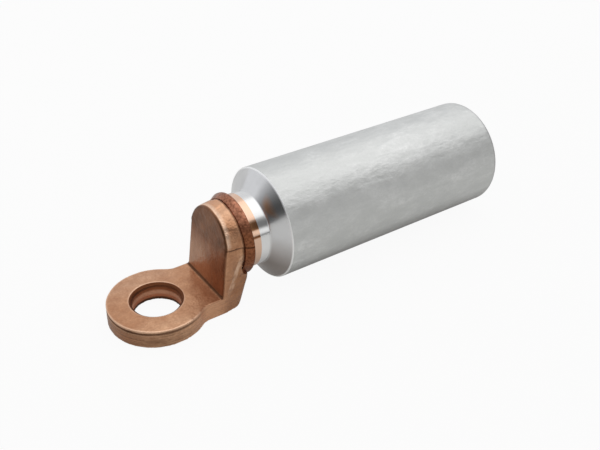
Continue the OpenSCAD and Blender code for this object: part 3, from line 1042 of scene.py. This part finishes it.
def pale_floor():
    """A wide pale floor that touches the heel and the barrel's far end, and shows near white."""
    tilt = math.atan2(BARREL_LIFT, END_X - END_EDGE_R - HEEL_X)
    bm = bmesh.new()
    bmesh.ops.create_grid(bm, x_segments=1, y_segments=1, size=FLOOR_HALF)
    bmesh.ops.rotate(bm, verts=bm.verts, matrix=Matrix.Rotation(-tilt, 3, "Y"))
    bmesh.ops.translate(bm, verts=bm.verts, vec=(0, 0, -HEEL_X * math.tan(tilt) * MM))
    mesh = made_mesh(bm, "floor")
    material, tree, shader = new_finish("pale floor", 0.0)
    shader.inputs["Roughness"].default_value = FLOOR_ROUGHNESS
    _, y, _ = axes(tree)
    tone = tint(tree, rising(tree, y, FLOOR_BEYOND_Y), *FLOOR_COLOURS)
    white = put(tree, "Emission", Color=(*WHITE, 1), Strength=1.0)
    mix = put(tree, "MixShader")
    wire(tree, (*tone, shader, "Base Color"),
         (*whitened(tree, FLOOR_WHITE, FLOOR_WHITE_IN_METAL), mix, 0),
         (shader, "BSDF", mix, 1), (white, "Emission", mix, 2),
         (mix, "Shader", tree.nodes["Material Output"], "Surface"))
    mesh.materials.append(material)
    placed("floor", mesh)


def round_place(tree, direction, way, inner, outer):
    """A mask round one direction: 1 within the inner angle, 0 beyond the outer, in degrees."""
    near = put(tree, "VectorMath", operation="DOT_PRODUCT")
    near.inputs[1].default_value = Vector(way).normalized()
    wire(tree, (direction, "Generated", near, 0))
    return spread_to(tree, (near, "Value"), 0.0, 1.0,
                     math.cos(math.radians(outer)), math.cos(math.radians(inner)))


def grey_ramp(tree, source, stops):
    """Greys with linear steps between (place, brightness) pairs."""
    made = put(tree, "ValToRGB")
    steps = made.color_ramp.elements
    while len(steps) < len(stops):
        steps.new(1.0)
    for step, (place, grey) in zip(steps, stops):
        step.position = place
        step.color = (grey, grey, grey, 1)
    wire(tree, (*source, made, "Fac"))
    return made, "Color"


def studio():
    """A pale room. The bright turned metal mirrors its dark front, a low strip of light and
    the dark places at both ends."""
    world = bpy.data.worlds.new("studio")
    bpy.context.scene.world = world
    world.use_nodes = True
    tree = world.node_tree
    direction = put(tree, "TexCoord")
    split = put(tree, "SeparateXYZ")
    wire(tree, (direction, "Generated", split, "Vector"))
    rightwards = spread_to(tree, (split, "X"), 0.0, 1.0, *SIDE_WALL_X)
    wall = tint(tree, rightwards, grey_ramp(tree, (split, "Z"), FRONT_WALL), SIDE_WALL)
    room = tint(tree, spread_to(tree, (split, "Y"), 0.0, 1.0, *FRONT_WALL_Y), ROOM, wall)
    for way, inner, outer, colour in ROOM_PLACES:
        room = tint(tree, round_place(tree, direction, way, inner, outer), room, colour)
    shown = tint(tree, whitened(tree, ROOM_WHITE, ROOM_WHITE_IN_METAL), room, WHITE)
    background = tree.nodes["Background"]
    background.inputs["Strength"].default_value = 1.0
    wire(tree, (*shown, background, "Color"))


def softbox():
    """A square lamp overhead that faces the middle of the lug."""
    lamp = bpy.data.lights.new("overhead softbox", "AREA")
    lamp.size = SOFTBOX_SIZE
    lamp.energy = SOFTBOX_POWER
    obj = placed("overhead softbox", lamp)
    obj.location = LUG_MIDDLE + Vector(SOFTBOX_WAY).normalized() * SOFTBOX_DISTANCE
    obj.rotation_mode = "QUATERNION"
    obj.rotation_quaternion = (LUG_MIDDLE - obj.location).to_track_quat("-Z", "Y")


def camera():
    """The photograph's camera."""
    data = bpy.data.cameras.new("camera")
    data.sensor_width = CAMERA_SENSOR
    data.lens = CAMERA_LENS
    data.clip_start = CAMERA_NEAR
    obj = placed("camera", data)
    turn = Matrix((CAMERA_RIGHT, CAMERA_UP, CAMERA_RIGHT.cross(CAMERA_UP))).transposed()
    obj.matrix_world = Matrix.Translation(CAMERA_PLACE) @ turn.to_4x4()
    bpy.context.scene.camera = obj


piece("copper_forging", forging(), [forged_copper(), turned_copper()], "copper_palm")
piece("aluminium_barrel_turned", barrel(), [satin_aluminium(), turned_aluminium()],
      "aluminium_barrel")
pale_floor()
studio()
softbox()
camera()
bpy.context.scene.view_settings.view_transform = "Standard"
